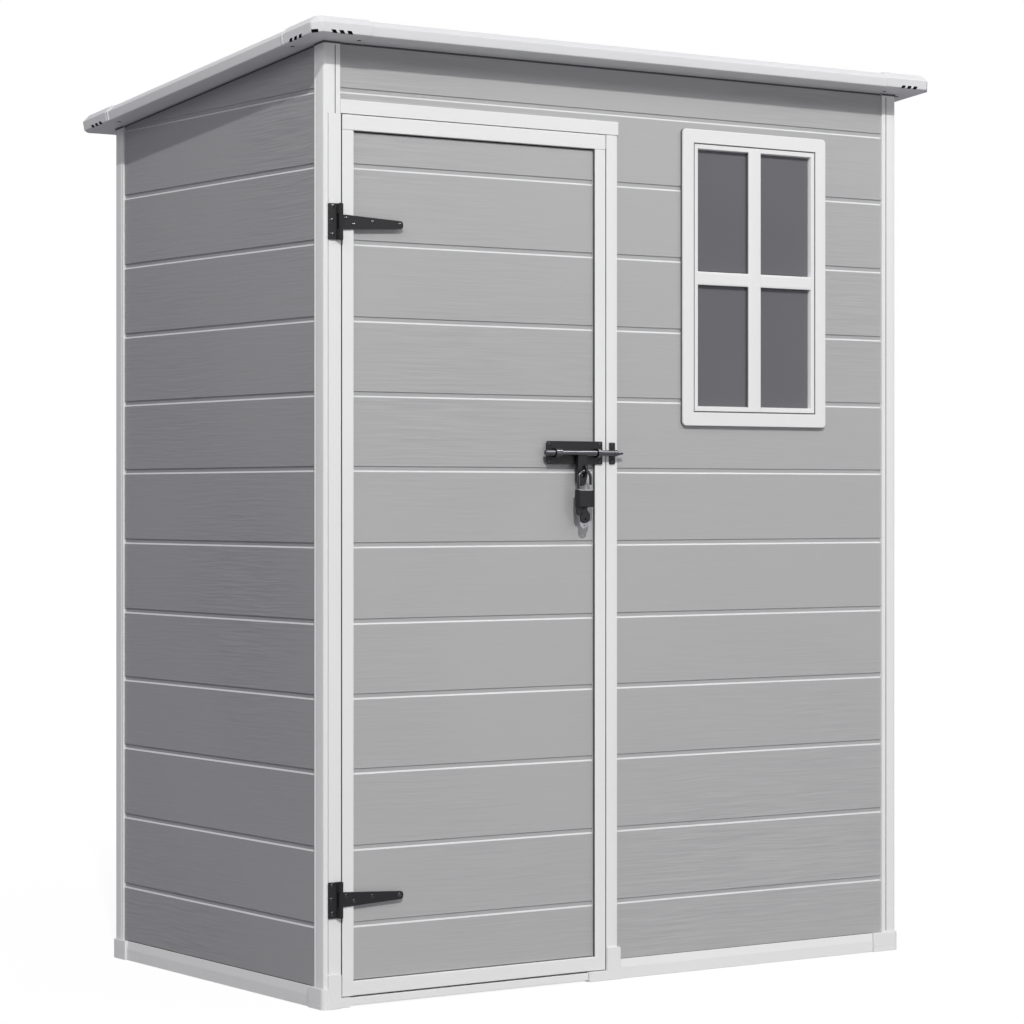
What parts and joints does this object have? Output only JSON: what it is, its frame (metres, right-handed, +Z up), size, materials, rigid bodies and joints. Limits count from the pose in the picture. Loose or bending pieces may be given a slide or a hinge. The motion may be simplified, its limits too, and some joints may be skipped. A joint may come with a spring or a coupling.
{
  "type": "resin storage shed",
  "caption": "Lean-to garden shed of grey planked resin panels with white trim, a hinged side-bolted door and a barred window.",
  "frame": {"origin": "on the ground, in the middle of the base and of the roof's plan", "axes": "+Z up, -Y out of the front with the door and window, +X to the right seen from the front"},
  "size_m": [1.636, 1.03, 1.9889],
  "materials": {
    "grey_resin": "moulded wood grain, matt",
    "white_resin": "smooth satin moulding",
    "smoked_glazing": "smooth translucent sheet",
    "black_steel": "black powder coat",
    "bright_steel": "plated steel"
  },
  "bodies": {
    "shed": {"floor": "grey_resin", "base_front": "white_resin", "base_back": "white_resin", "base_left": "white_resin", "base_right": "white_resin", "door_sill": "white_resin", "foot_front_left": "white_resin", "foot_front_right": "white_resin", "foot_back_left": "white_resin", "foot_back_right": "white_resin", "foot_door_post": "white_resin", "post_front_left": "white_resin", "post_front_right": "white_resin", "post_back_left": "white_resin", "post_back_right": "white_resin", "door_post": "white_resin", "door_header": "white_resin", "front_wall": "grey_resin", "wall_over_door": "grey_resin", "left_wall": "grey_resin", "right_wall": "grey_resin", "back_wall": "grey_resin", "window_frame": "white_resin", "window_panes": "smoked_glazing", "roof_panel": "white_resin", "roof_trim_front": "white_resin", "roof_trim_back": "white_resin", "roof_trim_left": "white_resin", "roof_trim_right": "white_resin", "roof_cap_front_left": "white_resin", "roof_cap_front_right": "white_resin", "roof_cap_back_left": "white_resin", "roof_cap_back_right": "white_resin", "hinge_leaf_upper": "black_steel", "hinge_leaf_lower": "black_steel", "bolt_keeper": "black_steel"},
    "door": {"door_panel": "grey_resin", "door_frame": "white_resin", "hinge_strap_upper": "black_steel", "hinge_strap_lower": "black_steel", "bolt_plate": "black_steel"},
    "bolt": {"bolt_rod": "black_steel", "padlock_body": "black_steel", "padlock_shackle": "bright_steel", "padlock_key": "bright_steel"}
  },
  "joints": [
    {"name": "door_swing", "type": "hinge", "parent": "shed", "child": "door", "pos_m": [-0.723, -0.456, 0.9], "axis": [0, 0, -1], "range_deg": [0, 160]},
    {"name": "bolt_slide", "type": "slide", "parent": "door", "child": "bolt", "axis": [-1, 0, 0], "range_m": [0, 0.04]}
  ]
}
